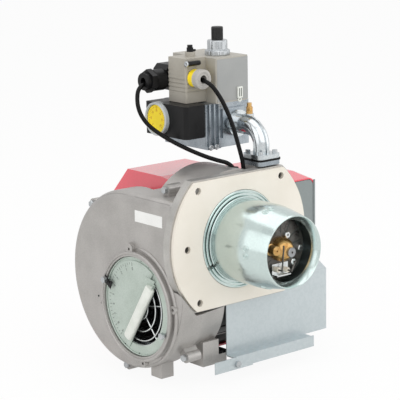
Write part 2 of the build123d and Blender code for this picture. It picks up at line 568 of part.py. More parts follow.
flange_parts()
tube_parts()
mixing_head()
gas_feed()
air_inlet()
damper_parts()
fan()
motor()
hood()
cover()
elbow()
valve()
switch()
cables()
housing_parts()
print("written")
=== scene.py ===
import bpy
import math
import numpy as np
from mathutils import Matrix, Vector


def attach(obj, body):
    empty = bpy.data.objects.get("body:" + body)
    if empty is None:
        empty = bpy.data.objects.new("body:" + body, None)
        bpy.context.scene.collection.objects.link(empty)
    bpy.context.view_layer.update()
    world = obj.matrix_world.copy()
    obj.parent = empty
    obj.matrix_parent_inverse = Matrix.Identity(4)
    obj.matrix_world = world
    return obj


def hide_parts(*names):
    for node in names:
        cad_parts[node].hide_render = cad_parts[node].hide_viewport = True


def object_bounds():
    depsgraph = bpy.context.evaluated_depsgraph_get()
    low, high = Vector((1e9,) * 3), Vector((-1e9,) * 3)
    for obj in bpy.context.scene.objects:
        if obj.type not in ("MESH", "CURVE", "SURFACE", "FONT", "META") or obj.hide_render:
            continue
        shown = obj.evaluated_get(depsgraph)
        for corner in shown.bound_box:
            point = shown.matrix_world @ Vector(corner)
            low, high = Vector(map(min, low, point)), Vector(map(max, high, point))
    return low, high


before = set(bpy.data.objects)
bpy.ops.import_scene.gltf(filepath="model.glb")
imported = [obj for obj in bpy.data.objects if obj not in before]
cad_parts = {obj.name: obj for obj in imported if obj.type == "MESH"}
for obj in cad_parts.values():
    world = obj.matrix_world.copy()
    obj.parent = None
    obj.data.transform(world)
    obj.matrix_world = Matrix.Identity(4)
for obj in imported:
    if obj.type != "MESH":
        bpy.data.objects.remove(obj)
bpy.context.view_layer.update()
print("frame loaded")

millimetre = 0.001
metre = 1000  # in millimetres
fanAxis = np.array([0.0, 96.0, -98.0])  # a point of the axis that the fan and damper turn about


# camera at the usual three-quarter view of the burner; lens and film in millimetres
camera = {"place": (-1.56467, -1.78701, 0.58108), "lens": 152.37, "film": 36,
          "right": (0.76582, -0.64283, -0.01693), "up": (0.15095, 0.15411, 0.97646),
          "back": (-0.62509, -0.75035, 0.21505)}


def addCamera():
    data = bpy.data.cameras.new("camera")
    data.lens, data.sensor_width = camera["lens"], camera["film"]
    thing = bpy.data.objects.new("camera", data)
    bpy.context.scene.collection.objects.link(thing)
    turn = Matrix((camera["right"], camera["up"], camera["back"])).transposed().to_4x4()
    thing.matrix_world = Matrix.Translation(camera["place"]) @ turn
    bpy.context.scene.camera = thing


addCamera()


# sRGB hex to linear colour: the sRGB curve undone for each channel
def linear(code):
    channels = [int(code[i:i + 2], 16) / 255 for i in (1, 3, 5)]
    return [c / 12.92 if c < 0.04045 else ((c + 0.055) / 1.055) ** 2.4 for c in channels] + [1.0]


def addNode(material, kind, settings=None, inputs=None):
    node = material.node_tree.nodes.new(kind)
    for key, value in (settings or {}).items():
        setattr(node, key, value)
    for key, value in (inputs or {}).items():
        if isinstance(value, bpy.types.NodeSocket):
            material.node_tree.links.new(value, node.inputs[key])
        else:
            node.inputs[key].default_value = value
    return node


# how the grain and the patches of every finish are mixed: their noise detail, the patches'
# share, the part of the mix that the colours and the roughness spread over, the lowest
# roughness and the bump's strength
pattern = {"grainDetail": 3.0, "patchDetail": 2.0, "share": 0.5, "colourSpan": (0.38, 0.62),
           "roughSpan": (0.35, 0.65), "smoothest": 0.03, "bump": 0.6}


# One surface: fine grain mixed over broad patches gives colour, roughness and height.
# grain and patch are in millimetres, height is the grain's depth in millimetres.
def surface(name, light, dark, metal, rough, grain, patch, height, stretch=(1, 1, 1),
            vary=0.08, cells=False, shader=None):
    material = bpy.data.materials.new(name)
    material.use_nodes = True
    material.node_tree.nodes.clear()
    place = addNode(material, "ShaderNodeTexCoord").outputs["Object"]
    drawn = addNode(material, "ShaderNodeMapping", inputs={"Vector": place, "Scale": stretch})
    if cells:
        fine = addNode(material, "ShaderNodeTexVoronoi", {"feature": "F1"},
                       {"Vector": drawn.outputs[0], "Scale": metre / grain})
        fineOut = addNode(material, "ShaderNodeSeparateColor", None,
                          {"Color": fine.outputs["Color"]}).outputs[0]
    else:
        fineOut = addNode(material, "ShaderNodeTexNoise", None,
                          {"Vector": drawn.outputs[0], "Scale": metre / grain,
                           "Detail": pattern["grainDetail"]}).outputs[0]
    broad = addNode(material, "ShaderNodeTexNoise", None,
                    {"Vector": place, "Scale": metre / patch, "Detail": pattern["patchDetail"]})
    both = addNode(material, "ShaderNodeMix", {"data_type": "FLOAT"},
                   {"Factor": pattern["share"], "A": fineOut, "B": broad.outputs[0]})
    ramp = addNode(material, "ShaderNodeValToRGB", None, {"Fac": both.outputs[0]})
    ends = ramp.color_ramp.elements
    ends[0].position, ends[1].position = pattern["colourSpan"]
    ends[0].color, ends[1].color = linear(dark), linear(light)
    low, high = pattern["roughSpan"]
    roughness = addNode(material, "ShaderNodeMapRange", None,
                        {"Value": both.outputs[0], "From Min": low, "From Max": high,
                         "To Min": max(rough - vary, pattern["smoothest"]),
                         "To Max": min(rough + vary, 1)})
    bump = addNode(material, "ShaderNodeBump", None,
                   {"Height": fineOut, "Distance": height * millimetre,
                    "Strength": pattern["bump"]})
    principled = addNode(material, "ShaderNodeBsdfPrincipled", None,
                         {"Base Color": ramp.outputs[0], "Metallic": metal,
                          "Roughness": roughness.outputs[0], "Normal": bump.outputs[0]})
    for key, value in (shader or {}).items():
        principled.inputs[key].default_value = value
    addNode(material, "ShaderNodeOutputMaterial", None, {"Surface": principled.outputs[0]})
    return material


finishes = {
    # gravity die-cast aluminium, as cast: pale grey, matt, faintly pitted
    "castAluminium": surface("castAluminium", "#B9B6B3", "#A7A4A1", 0.60, 0.40, 1.5, 45, 0.05),
    # machined face of the mounting flange, a little brighter
    "machinedAluminium": surface("machinedAluminium", "#C4C2BE", "#ABA9A5", 0.65, 0.38, 1.2,
                                 30, 0.04),
    # calcium-silicate gasket board: cream, dull, with a fine felted grain
    "gasketBoard": surface("gasketBoard", "#EFE9DF", "#E7E0D4", 0.0, 0.85, 0.9, 60, 0.05),
    # bright zinc plate on deep-drawn steel: blue-green cast, soft mirror
    "brightZinc": surface("brightZinc", "#D2E0DD", "#C4D2D0", 0.90, 0.20, 2.2, 60, 0.003,
                          vary=0.03),
    # galvanised sheet: faint crystals under a satin skin
    "galvanisedSheet": surface("galvanisedSheet", "#C5CDD0", "#BFC8CB", 0.50, 0.38, 3.5, 70, 0.002,
                               cells=True),
    # passivated zinc on pressed steel: grey-green, low sheen
    "passivatedZinc": surface("passivatedZinc", "#C2CDC5", "#B0BCB3", 0.35, 0.42, 2.0, 30, 0.02),
    # grey baked enamel on sheet steel
    "greyEnamel": surface("greyEnamel", "#8E9696", "#848C8C", 0.0, 0.42, 1.2, 60, 0.01),
    # zinc-plated fastener
    "platedFastener": surface("platedFastener", "#C6C9CB", "#ACB0B3", 0.9, 0.26, 0.9, 14, 0.006),
    # pressure die-cast zinc alloy, tumbled bright
    "dieCastZinc": surface("dieCastZinc", "#ADB4BA", "#8A9299", 0.80, 0.30, 1.1, 22, 0.03),
    # chromed casting of the gas bend, smooth and bright
    "polishedCasting": surface("polishedCasting", "#DADEE0", "#BBC2C6", 0.95, 0.16, 2.0, 26, 0.012,
                               vary=0.05),
    # anodised aluminium cover of the solenoid, silk matt
    "anodisedSilver": surface("anodisedSilver", "#A3A4A3", "#989A99", 0.30, 0.46, 0.8, 40, 0.004),
    # drawn and chromed wire
    "chromedWire": surface("chromedWire", "#E8EAEA", "#C9CDCD", 0.9, 0.18, 0.8, 8, 0.01),
    # steel sheet darkened by flame heat: brown-black with blue patches
    "heatedSteel": surface("heatedSteel", "#6E6B67", "#454341", 0.80, 0.30, 1.4, 14, 0.03),
    # turned brass, tarnished by heat
    "turnedBrass": surface("turnedBrass", "#DDB679", "#B08449", 0.85, 0.26, 0.7, 9, 0.01,
                           stretch=(1, 6, 1)),
    # turned free-cutting steel
    "turnedSteel": surface("turnedSteel", "#A9ABAD", "#87898B", 0.9, 0.30, 0.6, 12, 0.02,
                           stretch=(1, 5, 1)),
    # glazed steatite ceramic, off-white
    "glazedSteatite": surface("glazedSteatite", "#EFE9DC", "#DCD3C2", 0.0, 0.22, 1.0, 12, 0.01),
    # moulded white nylon, faint flow marks
    "mouldedNylon": surface("mouldedNylon", "#ECEEE8", "#DEE2DA", 0.0, 0.40, 0.8, 16, 0.01),
    # hot-dip galvanised fan wheel
    "wheelSteel": surface("wheelSteel", "#7F8587", "#5C6163", 0.7, 0.42, 3.0, 24, 0.02, cells=True),
    # black stoved enamel of the motor
    "stovedBlack": surface("stovedBlack", "#222222", "#161616", 0.0, 0.38, 1.4, 30, 0.04,
                           shader={"Specular IOR Level": 0.3}),
    # red powder coat: orange-peel skin over sheet steel
    "redPowderCoat": surface("redPowderCoat", "#F24A5E", "#EA4256", 0.0, 0.22, 1.3, 70, 0.006,
                             shader={"Coat Weight": 1.0, "Coat Roughness": 0.06, "Coat IOR": 1.6}),
    # black glass-filled polyamide, moulded with a light texture; the same black is the painted
    # shade of the wedge at the damper
    "mouldedBlack": surface("mouldedBlack", "#181819", "#111112", 0.0, 0.38, 0.7, 14, 0.012,
                            shader={"Specular IOR Level": 0.22}),
    # charcoal phenolic of the flow knob
    "knobPhenolic": surface("knobPhenolic", "#2C2C2C", "#222222", 0.0, 0.45, 0.7, 10, 0.01,
                            shader={"Specular IOR Level": 0.3}),
    # nitrile rubber and PVC cable sheath
    "blackRubber": surface("blackRubber", "#0C0C0C", "#070707", 0.0, 0.24, 0.9, 10, 0.004,
                           shader={"Specular IOR Level": 0.16}),
    # beige moulded ABS of the terminal case, fine spark texture
    "beigeAbs": surface("beigeAbs", "#B1ACA2", "#A6A196", 0.0, 0.50, 0.6, 25, 0.01),
    # yellow printed polyester film
    "yellowFilm": surface("yellowFilm", "#FFE61E", "#FFDC12", 0.0, 0.40, 1.2, 20, 0.005),
    # warm grey stoved enamel on the solenoid's steel can
    "stoneEnamel": surface("stoneEnamel", "#B2AEA5", "#A8A49A", 0.0, 0.48, 0.8, 40, 0.004),
    # grey moulded polyamide of the cable gland
    "greyPolyamide": surface("greyPolyamide", "#B9B6B1", "#ABA8A3", 0.0, 0.42, 0.7, 12, 0.01),
    # white vinyl label
    "whiteVinyl": surface("whiteVinyl", "#F5F5F3", "#EDEDEB", 0.0, 0.45, 1.4, 25, 0.005),
    # black printing ink, which is also the painted shade of holes and slots, and red printing ink
    "blackInk": surface("blackInk", "#3A403C", "#2C322F", 0.0, 0.5, 0.5, 6, 0.002),
    "redInk": surface("redInk", "#C0502A", "#A9431F", 0.0, 0.5, 0.5, 6, 0.002),
    # clear moulded polycarbonate, slightly smoky at the rim
    "clearRim": surface("clearRim", "#DADFE0", "#C9CFD1", 0.0, 0.16, 2.0, 16, 0.01,
                        shader={"Alpha": 0.8, "Coat Weight": 0.4}),
}

nodeFinish = {
    "castAluminium": ["housing_inlet_half", "housing_motor_half"],
    "machinedAluminium": ["mounting_flange"],
    "gasketBoard": ["flange_gasket"],
    "brightZinc": ["flame_tube", "tube_clamp_ring"],
    "galvanisedSheet": ["connector_cover", "terminal_rail"],
    "passivatedZinc": ["inlet_plate", "damper_blade", "damper_tab"],
    "greyEnamel": ["hood_front_plate"],
    "platedFastener": ["housing_screws", "inlet_clamp_screws", "head_nuts", "gas_flange_screws",
                       "terminal_rail_screw", "coil_nut"],
    "dieCastZinc": ["valve_body", "gas_flange_lower"],
    "greyPolyamide": ["cable_gland"],
    "polishedCasting": ["gas_elbow"],
    "stoneEnamel": ["valve_coil"],
    "chromedWire": ["inlet_guard", "electrode_rods", "electrode_clamp"],
    "heatedSteel": ["baffle_plate"],
    "turnedBrass": ["gas_nozzle", "test_nipple"],
    "turnedSteel": ["gas_lance", "gas_feed_elbow", "motor_shaft", "motor_rotor"],
    "glazedSteatite": ["electrode_insulators"],
    "mouldedNylon": ["damper_handle"],
    "wheelSteel": ["fan_wheel"],
    "stovedBlack": ["motor_case", "motor_flange", "motor_end_cap"],
    "redPowderCoat": ["hood"],
    "mouldedBlack": ["pressure_switch", "plug_body", "plug_nut", "top_eyelet",
                     "damper_pointer", "cover_screw", "control_box", "ignition_transformer"],
    "knobPhenolic": ["flow_knob"],
    "blackRubber": ["foot_pad", "gas_flange_gasket", "cable_grommets"],
    "beigeAbs": ["terminal_case", "top_boss"],
    "yellowFilm": ["pressure_dial", "gland_collar"],
    "clearRim": ["dial_bezel"],
}


def dressNodes():
    for finish, names in nodeFinish.items():
        for name in names:
            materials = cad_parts[name].data.materials
            materials.clear()
            materials.append(finishes[finish])


dressNodes()
print("finishes on the frame's nodes")


# a mesh from points in millimetres that rides on a body; edges sharper than crease degrees
# stay sharp on a smooth piece
def newPiece(name, points, faces, finish, body, smooth=True, crease=None):
    mesh = bpy.data.meshes.new(name)
    mesh.from_pydata((np.asarray(points) * millimetre).tolist(), [], [list(f) for f in faces])
    mesh.polygons.foreach_set("use_smooth", np.full(len(mesh.polygons), smooth))
    mesh.materials.append(finishes[finish])
    mesh.update()
    if crease:
        mesh.set_sharp_from_angle(angle=math.radians(crease))
    thing = bpy.data.objects.new(name, mesh)
    bpy.context.scene.collection.objects.link(thing)
    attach(thing, body)
    return thing


# faces of a grid of rows x columns points; either way round may be closed
def gridFaces(rows, columns, closeRows=False, closeColumns=False):
    r = np.arange(rows if closeRows else rows - 1)
    c = np.arange(columns if closeColumns else columns - 1)
    r, c = np.meshgrid(r, c, indexing="ij")
    r2, c2 = (r + 1) % rows, (c + 1) % columns
    return np.stack([r * columns + c, r2 * columns + c, r2 * columns + c2, r * columns + c2],
                    -1).reshape(-1, 4)


# the two flat ends of a grid whose columns close
def endFaces(rows, columns):
    first = list(range(columns))
    return [first, [(rows - 1) * columns + i for i in first][::-1]]


# boxes given by centre, half sizes and three unit directions, as one mesh
def boxes(rows):
    corner = np.array([[x, y, z] for x in (-1, 1) for y in (-1, 1) for z in (-1, 1)], float)
    quad = np.array([[0, 1, 3, 2], [4, 6, 7, 5], [0, 4, 5, 1],
                     [2, 3, 7, 6], [0, 2, 6, 4], [1, 5, 7, 3]])
    points = [np.asarray(c) + (corner * h) @ np.asarray(d) for c, h, d in rows]
    faces = [quad + len(corner) * i for i in range(len(rows))]
    return np.concatenate(points), np.concatenate(faces)


# a row for boxes that stands square to the axes
def square(centre, half):
    return centre, half, np.eye(3)


skew = (0.31, 0.52, 0.79)  # a direction that no turned piece points along


# the unit vector along a direction, and two more square to it and to each other
def directions(along):
    n = np.asarray(along, float) / np.linalg.norm(along)
    a = np.cross(n, skew)
    a /= np.linalg.norm(a)
    return n, a, np.cross(n, a)


# the angles of equal steps round a full circle
def fullTurn(steps):
    return np.arange(steps) * 2 * np.pi / steps


# a ring: a small circle of radius thin carried round a circle of radius wide
def ring(centre, wide, thin, normal, steps=40, around=10):
    n, a, b = directions(normal)
    u, v = np.meshgrid(fullTurn(steps), fullTurn(around), indexing="ij")
    out = np.cos(u)[..., None] * a + np.sin(u)[..., None] * b
    points = (np.asarray(centre) + out * (wide + thin * np.cos(v))[..., None]
              + n * (thin * np.sin(v))[..., None])
    return points.reshape(-1, 3), gridFaces(steps, around, True, True)


def joined(parts):
    points, faces, start = [], [], 0
    for p, f in parts:
        points.append(p)
        faces.append(f + start)
        start += len(p)
    return np.concatenate(points), np.concatenate(faces)


# the cosine at which a notch starts, and how steep its flanks are
notchShape = {"start": 0.55, "steep": 6}


# A closed turned shape: each profile point is a radius and a height along the axis, carried
# round it. Lobes cut that many notches of the given depth into the points beyond a radius: the
# cosine of the angle times lobes, less the start, made steep and held between 0 and 1.
def turned(profile, centre, along, steps=96, lobes=0, depth=0.0, beyond=0.0):
    n, a, b = directions(along)
    t = fullTurn(steps)[:, None]
    r, h = np.array(profile, float).T
    cut = np.clip((np.cos(lobes * t) - notchShape["start"]) * notchShape["steep"], 0, 1)
    notch = depth * cut * (r > beyond) if lobes else 0
    reach = (r - notch + 0 * t)[..., None]
    out = np.cos(t)[..., None] * a + np.sin(t)[..., None] * b
    points = (np.asarray(centre) + reach * out + h[None, :, None] * n).reshape(-1, 3)
    faces = gridFaces(steps, len(profile), True, True)
    p = points - np.asarray(centre)
    volume = np.einsum("ij,ij->", p[faces[:, 0]], np.cross(p[faces[:, 1]], p[faces[:, 2]])
                       + np.cross(p[faces[:, 2]], p[faces[:, 3]]))
    return points, faces if volume > 0 else faces[:, ::-1]


# An arc of round bar about the fan axis, angles from up towards +Y. Its girth is the sine of
# the way along it, times swell, held between tip and 1, so that it thins to its ends.
def arcBar(x, wide, thin, start, end, steps=60, around=10, swell=3, tip=0.05):
    t = np.radians(np.linspace(start, end, steps))[:, None]
    v = fullTurn(around)[None, :]
    girth = thin * np.clip(np.sin(np.linspace(0, np.pi, steps)) * swell, tip, 1)[:, None]
    reach = wide + girth * np.cos(v)
    points = np.stack([x - girth * np.sin(v), np.sin(t) * reach, np.cos(t) * reach], -1)
    points = points + [0, *fanAxis[1:]]
    faces = gridFaces(steps, around, False, True).tolist() + endFaces(steps, around)
    return points.reshape(-1, 3), faces


# outwards and sideways on a disc that faces -X, at an angle from up towards +Y
def spoke(angle):
    y, z = math.sin(angle), math.cos(angle)
    return np.array([0, y, z]), np.array([0, -z, y])


# a word as flat faces: x runs along right, y along up, from the word's middle
def word(text, size, centre, right, up, curveSteps=3):
    curve = bpy.data.curves.new("word", "FONT")
    curve.body, curve.size, curve.align_x, curve.align_y = text, size, "CENTER", "CENTER"
    curve.resolution_u = curveSteps
    thing = bpy.data.objects.new("word", curve)
    bpy.context.scene.collection.objects.link(thing)
    mesh = bpy.data.meshes.new_from_object(thing)
    flat = np.zeros(len(mesh.vertices) * 3)
    mesh.vertices.foreach_get("co", flat)
    flat = flat.reshape(-1, 3)
    mesh.calc_loop_triangles()
    tri = np.zeros(len(mesh.loop_triangles) * 3, int)
    mesh.loop_triangles.foreach_get("vertices", tri)
    bpy.data.objects.remove(thing)
    points = np.asarray(centre) + flat[:, :1] * np.asarray(right) + flat[:, 1:2] * np.asarray(up)
    return points, tri.reshape(-1, 3)


cables = {
    "glandCable": {"node": "gland_cable", "diameter": 6.4, "length": 175.8,
                   "points": [(8, 106, 222), (8, 80, 222), (17.5, 62, 199), (26, 48, 164),
                              (31, 38, 126), (34.5, 32, 100), (34.5, 32, 84)]},
    "plugCable": {"node": "plug_cable", "diameter": 6.4, "length": 258.2,
                  "points": [(-14, 167, 216), (-50, 167, 216), (-62, 159, 184), (-53, 150, 157),
                             (-40, 125, 139), (-24, 95, 123.5), (-2, 62, 109), (22, 37, 101),
                             (22, 37, 84)]},
}
cableSteps = {"along": 16, "around": 6, "order": 3}


def addCables():
    for name, c in cables.items():
        curve = bpy.data.curves.new(name, "CURVE")
        curve.dimensions, curve.use_fill_caps = "3D", True
        curve.bevel_depth = c["diameter"] / 2 * millimetre
        curve.bevel_resolution, curve.resolution_u = cableSteps["around"], cableSteps["along"]
        line = curve.splines.new("NURBS")
        line.points.add(len(c["points"]) - 1)
        for point, place in zip(line.points, c["points"]):
            point.co = [v * millimetre for v in place] + [1]
        line.order_u = cableSteps["order"]
        line.use_endpoint_u = True
        curve.materials.append(finishes["blackRubber"])
        thing = bpy.data.objects.new(name, curve)
        bpy.context.scene.collection.objects.link(thing)
        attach(thing, "burner")
        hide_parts(c["node"])


addCables()
print("cables laid")


# ticks and numbers on arcs about the fan axis; angles are from up towards +Y
damperScale = {"front": -119.58, "first": 8, "last": 142, "ticks": 28, "every": 3,
               "tickEdge": 65, "long": 2.6, "short": 1.5, "halfWidth": 0.28, "halfRise": 0.03,
               "digits": 10, "digitRadius": 55.5, "digitSize": 6.5}


def addDamperScale():
    s = damperScale
    middle = fanAxis + np.array([s["front"], 0, 0])

    def angle(i):
        return math.radians(s["first"] + (s["last"] - s["first"]) * i / (s["ticks"] - 1))

    rows, marks = [], []
    for i in range(s["ticks"]):
        out, side = spoke(angle(i))
        long = s["long"] if i % s["every"] == 0 else s["short"]
        rows.append((middle + out * (s["tickEdge"] - long),
                     np.array([s["halfRise"], long, s["halfWidth"]]),
                     (np.array([1, 0, 0]), out, side)))
    ticks = newPiece("damperTicks", *boxes(rows), "blackInk", "air_damper", False)
    for i in range(s["digits"]):
        out, side = spoke(angle(i * s["every"]))
        marks.append(word(str(i), s["digitSize"], middle + out * s["digitRadius"], side, out))
    digits = newPiece("damperDigits", *joined(marks), "blackInk", "air_damper", False)


addDamperScale()


# ticks and numbers on the yellow dial; the numbers rise by step from the first one
pressureScale = {"centre": (-31.06, 151, 161), "first": -135, "sweep": 270, "ticks": 25,
                 "every": 4, "tickEdge": 18.5, "long": 1.6, "short": 0.9, "halfWidth": 0.22,
                 "halfRise": 0.03, "digitRadius": 12.5, "digitSize": 4.6, "lowest": 2, "step": 2}


def addPressureScale():
    s = pressureScale
    centre = np.array(s["centre"])
    rows, marks = [], []
    for i in range(s["ticks"]):
        out, side = spoke(-math.radians(s["first"] + s["sweep"] * i / (s["ticks"] - 1)))
        long = s["long"] if i % s["every"] == 0 else s["short"]
        rows.append((centre + out * (s["tickEdge"] - long),
                     np.array([s["halfRise"], long, s["halfWidth"]]),
                     (np.array([1, 0, 0]), out, side)))
        if i % s["every"] == 0:
            marks.append(word(str(i * s["step"] + s["lowest"]), s["digitSize"],
                              centre + out * s["digitRadius"], side, out))
    ticks = newPiece("dialTicks", *boxes(rows), "redInk", "pressure_dial_body", False)
    digits = newPiece("dialDigits", *joined(marks), "redInk", "pressure_dial_body", False)


addPressureScale()
print("scales drawn")


labels = {"sideLabel": {"corner": (-116.35, 36, 28), "size": (0.35, 63, 17),
                        "finish": "whiteVinyl"},
          "frontLabel": {"corner": (34, 87.7, 185), "size": (60, 0.3, 63),
                         "finish": "anodisedSilver"}}
labelEdge = 0.12  # millimetres rounded off


# bare labels: thin rounded plates
def addLabels():
    for name, l in labels.items():
        size = np.array(l["size"])
        centre = np.array(l["corner"]) + size / 2
        plate = newPiece(name, *boxes([square(centre, size / 2)]), l["finish"], "burner", False)
        edge = plate.modifiers.new("edge", "BEVEL")
        edge.width, edge.segments = labelEdge * millimetre, 1


addLabels()


sheetEdge = {"centre": (256.3, 115.5, -14), "half": (1.7, 0.6, 47)}
motorCapacitor = {"start": (8, 126, -182), "steps": 48, "crease": 50,
                  "profile": [(2, 0), (14, 0), (15, 1.2), (15, 61), (14, 62), (2, 62)],
                  "neck": ((39, 120, -167), (7, 4, 5))}


# grey edge of the front sheet over the hood's rim, and the motor's capacitor under the case
def addHoodDetails():
    edge = newPiece("sheetEdge", *boxes([square(sheetEdge["centre"], sheetEdge["half"])]),
                    "greyEnamel", "burner", False)
    c = motorCapacitor
    can = newPiece("motorCapacitor",
                   *joined([turned(c["profile"], c["start"], (1, 0, 0), c["steps"]),
                            boxes([square(*c["neck"])])]),
                   "mouldedBlack", "burner", crease=c["crease"])


addHoodDetails()
print("labels and hood details added")


# pairs of pressed dimples round the flame tube's taper, where the inner ring is riveted;
# each is an outer and an inner ring, given by radius and thickness
dimples = {"angles": (177, 105, 33, 321, 249), "apart": 5.2, "y": -75.5, "radius": 58.9,
           "slope": 0.17, "rings": ((4.0, 0.8), (1.4, 0.7))}


def addDimples():
    d = dimples
    parts = []
    for degrees in [middle + side * d["apart"] for middle in d["angles"] for side in (-1, 1)]:
        a = math.radians(degrees)
        n = np.array([math.cos(a), -d["slope"], math.sin(a)])
        centre = np.array([math.cos(a), 0, math.sin(a)]) * d["radius"] + np.array([0, d["y"], 0])
        parts += [ring(centre, wide, thin, n) for wide, thin in d["rings"]]
    piece = newPiece("tubeDimples", *joined(parts), "brightZinc", "burner")


addDimples()


# clamping ring round the flame tube: a turned profile with two grooves and one slot.
# Each profile point is a radius and a place along Y, carried round by angle but for the slot.
clampRing = {"slotAt": 208, "slotHalf": 2.6, "steps": 120,
             "profile": [(60.9, 5), (72, 5), (72, -0.4), (71.2, -1.4), (69.8, -1.4), (69.5, 2),
                         (68, 2), (67.7, -2.2), (67, -3), (64.9, -3), (64.6, 1.5), (63.3, 1.5),
                         (63, -4.2), (62.2, -5), (60.9, -5)]}


def addClampRing():
    c = clampRing
    start, end = c["slotAt"] + c["slotHalf"], c["slotAt"] + 360 - c["slotHalf"]
    a = np.radians(np.linspace(start, end, c["steps"]))[:, None]
    r, y = np.array(c["profile"], float).T
    points = np.stack([np.cos(a) * r, y + 0 * a, np.sin(a) * r], -1).reshape(-1, 3)
    faces = gridFaces(len(a), len(r), False, True)[:, ::-1].tolist() + endFaces(len(a), len(r))
    thing = newPiece("clampRing", points, faces, "brightZinc", "burner", False)
    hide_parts("tube_clamp_ring")


addClampRing()


# Flame tube: outer wall to the mouth, a flared inner cone, then the inner wall back.
# The shoulder is eased over some 20 mm, as a pressed taper is.
flameTube = {"steps": 160, "crease": 34,
             "profile": [(60.6, 5), (60.6, -56), (60.5, -62), (60.1, -67), (59.4, -72),
                         (58.5, -77), (57.4, -83), (56.2, -90), (55.0, -97), (53.9, -103),
                         (52.9, -108), (52.3, -111), (51.6, -112), (50.9, -112), (50.2, -111.2),
                         (44.6, -100.4), (44.4, -99.4), (45.6, -99.2), (50.8, -109.2),
                         (51.6, -106.5), (52.8, -101), (54.6, -90), (57.0, -77), (59.0, -62),
                         (59.0, 5)]}


def addFlameTube():
    f = flameTube
    tube = newPiece("flameTube", *turned(f["profile"], (0, 0, 0), (0, 1, 0), f["steps"]),
                    "brightZinc", "burner", crease=f["crease"])
    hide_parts("flame_tube")


addFlameTube()


# beads that stand round the air inlet, by radius, thickness and x: a rounded cast rim and the
# folded lip of the plate
inletBeads = {"rim": (79.4, 2.4, -121.6, "castAluminium", "cast_aluminium"),
              "lip": (72.6, 1.2, -118.6, "passivatedZinc", "zinc_plate")}
beadSteps = {"steps": 120, "around": 12}
rimRidge = {"x": -116, "wide": 87.2, "thin": 2.6, "start": -150, "end": 6}
# dark discs on the inlet plate and one on the cast rim: painted shade for small holes
plateHoleShades = {"angles": (-9.5, -25, 154, 182), "x": -118.1, "radius": 71.3, "size": (0.8, 0.55),
              "rimHole": (-116.1, 192.9, -102.3), "rimHoleSize": (0.9, 0.7),
              "steps": 16, "around": 8}


def addInletBeads():
    for name, (wide, thin, x, finish, slot) in inletBeads.items():
        centre = fanAxis + np.array([x, 0, 0])
        piece = newPiece(name + "Bead", *ring(centre, wide, thin, (1, 0, 0), **beadSteps),
                         finish, "burner")
    ridge = newPiece("rimRidge", *arcBar(**rimRidge), "castAluminium", "burner")
    # the plate's holes and the rim hole drawn as discs of painted shade
    h = plateHoleShades
    marks = []
    for degrees in h["angles"]:
        out = spoke(math.radians(degrees))[0]
        spot = fanAxis + out * h["radius"] + np.array([h["x"], 0, 0])
        marks.append(ring(spot, *h["size"], (1, 0, 0), h["steps"], h["around"]))
    marks.append(ring(h["rimHole"], *h["rimHoleSize"], (1, 0, 0), h["steps"], h["around"]))
    holeShades = newPiece("plateHoleShades", *joined(marks), "blackInk", "burner")


addInletBeads()


# Damper handle: a rounded bar on the blade. Its section is a superellipse, drawn in at the ends:
# places are shares of the half length and girths the section's size there.
# along is up the bar and across is over its width; both turn with the blade's tilt.
handle = {"tilt": 33, "middle": (-124.6, -13.5, 1.5), "halfLength": 51, "halfWidth": 8.2,
          "halfDepth": 5.1, "around": 28, "squareness": 0.8, "crease": 50,
          "places": (-1, -0.985, -0.955, -0.5, 0, 0.5, 0.955, 0.985, 1),
          "girths": (0.72, 0.92, 1, 1, 1, 1, 1, 0.92, 0.72)}
damperFlap = {"x": -123.2, "across": -6, "along": 56.5, "half": (7.5, 0.5, 6.0),
              "lean": (-0.5, 0.866)}


def addHandle():
    h = handle
    tilt = math.radians(h["tilt"])
    along = np.array([0, -math.sin(tilt), math.cos(tilt)])
    across = np.array([0, math.cos(tilt), math.sin(tilt)])
    x, side, up = h["middle"]
    centre = np.array([x, 0, 0]) + fanAxis + across * side + along * up
    v = fullTurn(h["around"])
    cosine = np.sign(np.cos(v)) * np.abs(np.cos(v)) ** h["squareness"]
    sine = np.sign(np.sin(v)) * np.abs(np.sin(v)) ** h["squareness"]
    place = np.array(h["places"])[:, None] * h["halfLength"]
    size = np.array(h["girths"])[:, None]
    points = (centre + (place * np.ones_like(v))[..., None] * along
              + (size * cosine * h["halfWidth"])[..., None] * across
              + (size * sine * h["halfDepth"])[..., None] * np.array([1.0, 0, 0]))
    rows, columns = len(place), len(v)
    faces = gridFaces(rows, columns, False, True)[:, ::-1].tolist() + endFaces(rows, columns)
    bar = newPiece("handleBar", points.reshape(-1, 3), faces, "mouldedNylon", "air_damper",
                   crease=h["crease"])
    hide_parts("damper_handle")
    f = damperFlap
    lean = np.array([f["lean"][0], 0, 0]) + across * f["lean"][1]
    spot = np.array([f["x"], 0, 0]) + fanAxis + across * f["across"] + along * f["along"]
    flap = newPiece("damperFlap", *boxes([(spot, f["half"],
                                           (lean, np.cross(lean, along), along))]),
                    "passivatedZinc", "air_damper", False)


addHandle()
print("flame tube, air inlet and damper handle made")


# round nut under the flow knob: two collars, both notched for a hook wrench
coilNut = {"centre": (63.5, 121, 250), "notches": 8, "depth": 0.9, "beyond": 14, "steps": 96,
           "crease": 30,
           "profile": [(4.4, 0), (18.2, 0), (18.8, 0.8), (18.8, 6.6), (18, 7.8), (15.8, 8.2),
                       (15.1, 9), (15.1, 21), (14.2, 22.4), (10, 22.8), (4.4, 22.8)]}


def addCoilNut():
    c = coilNut
    nut = newPiece("hookNut", *turned(c["profile"], c["centre"], (0, 0, 1), c["steps"],
                                      c["notches"], c["depth"], c["beyond"]),
                   "platedFastener", "burner", crease=c["crease"])
    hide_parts("coil_nut")


addCoilNut()


